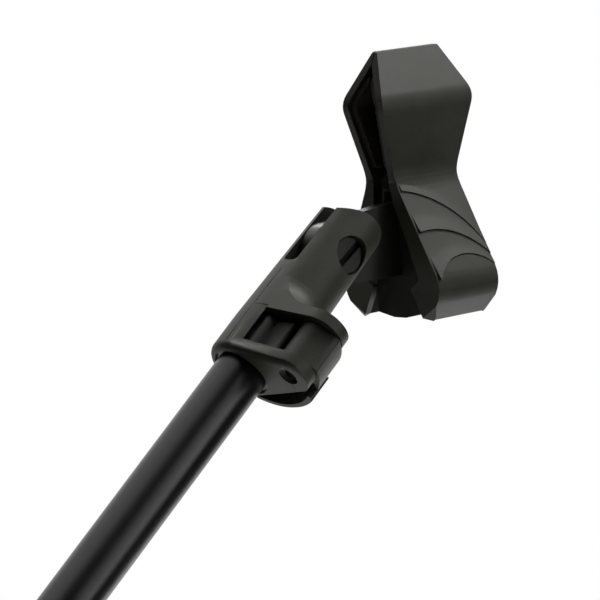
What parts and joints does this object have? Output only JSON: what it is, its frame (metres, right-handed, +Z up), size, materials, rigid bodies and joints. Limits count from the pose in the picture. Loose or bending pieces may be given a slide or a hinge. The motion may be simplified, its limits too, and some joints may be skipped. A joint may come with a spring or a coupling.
{
  "type": "tilting spring clip holder",
  "caption": "Sprung clip with padded jaws on a tilting clevis head, clamped by a cam lever to the end of a round pole tube.",
  "frame": {"origin": "centre of the pole tube's cut lower end, on the tube's axis", "axes": "+Z up the pole, -Y towards the screw head and the lever's pin, +X towards the lever's arm"},
  "size_m": [0.0798, 0.0491, 0.2497],
  "materials": {
    "black_plastic": "satin black moulded plastic with a fine grain",
    "dark_plastic": "smooth black plastic",
    "tube": "glossy black coating",
    "rubber": "matt dark rubber",
    "steel": "bright steel"
  },
  "bodies": {
    "pole": {"pole_tube": "tube"},
    "liner": {"liner_sleeve": "dark_plastic"},
    "head": {"clutch_body": "black_plastic", "lever_pin": "steel", "lock_nut": "steel", "screw_washer": "steel", "front_friction_disc": "rubber", "rear_friction_disc": "rubber"},
    "lever": {"cam_lever": "black_plastic"},
    "shoe": {"clamp_shoe": "black_plastic"},
    "screw": {"tilt_screw": "dark_plastic"},
    "clip": {"clip_core": "black_plastic", "hinge_pin": "steel", "front_jaw_spring": "steel", "rear_jaw_spring": "steel"},
    "front_jaw": {"front_jaw": "black_plastic", "front_jaw_lining": "rubber"},
    "rear_jaw": {"rear_jaw": "black_plastic", "rear_jaw_lining": "rubber"}
  },
  "joints": [
    {"name": "head_slide", "type": "slide", "parent": "pole", "child": "liner", "axis": [0, 0, 1], "range_m": [0, 0.02]},
    {"name": "head_swivel", "type": "hinge", "parent": "liner", "child": "head", "pos_m": [0, 0, 0.125], "axis": [0, 0, 1], "continuous": true},
    {"name": "lever_open", "type": "hinge", "parent": "head", "child": "lever", "pos_m": [0, -0.0204, 0.125], "axis": [0, 0, -1], "range_deg": [0, 110]},
    {"name": "shoe_press", "type": "slide", "parent": "head", "child": "shoe", "axis": [0, -1, 0], "range_m": [0, 0.0003]},
    {"name": "screw_turn", "type": "hinge", "parent": "head", "child": "screw", "pos_m": [0, 0, 0.1741], "axis": [0, -1, 0], "range_deg": [-30, 360]},
    {"name": "clip_tilt", "type": "hinge", "parent": "head", "child": "clip", "pos_m": [0, 0, 0.1741], "axis": [0, -1, 0], "range_deg": [-62, 120]},
    {"name": "front_jaw_squeeze", "type": "hinge", "parent": "clip", "child": "front_jaw", "pos_m": [0.00039, 0, 0.20502], "axis": [0.6115, 0, 0.7912], "range_deg": [0, 8], "stiffness_Nm_per_rad": 0.2, "springref_deg": -20.05, "deforming": ["front_jaw_spring"]},
    {"name": "rear_jaw_squeeze", "type": "hinge", "parent": "clip", "child": "rear_jaw", "pos_m": [0.00039, 0, 0.20502], "axis": [-0.6115, 0, -0.7912], "range_deg": [0, 8], "stiffness_Nm_per_rad": 0.2, "springref_deg": -20.05, "deforming": ["rear_jaw_spring"]}
  ],
  "couplings": [
    {"joint": "shoe_press", "follows": "lever_open", "m_per_rad": 0.0001561}
  ]
}
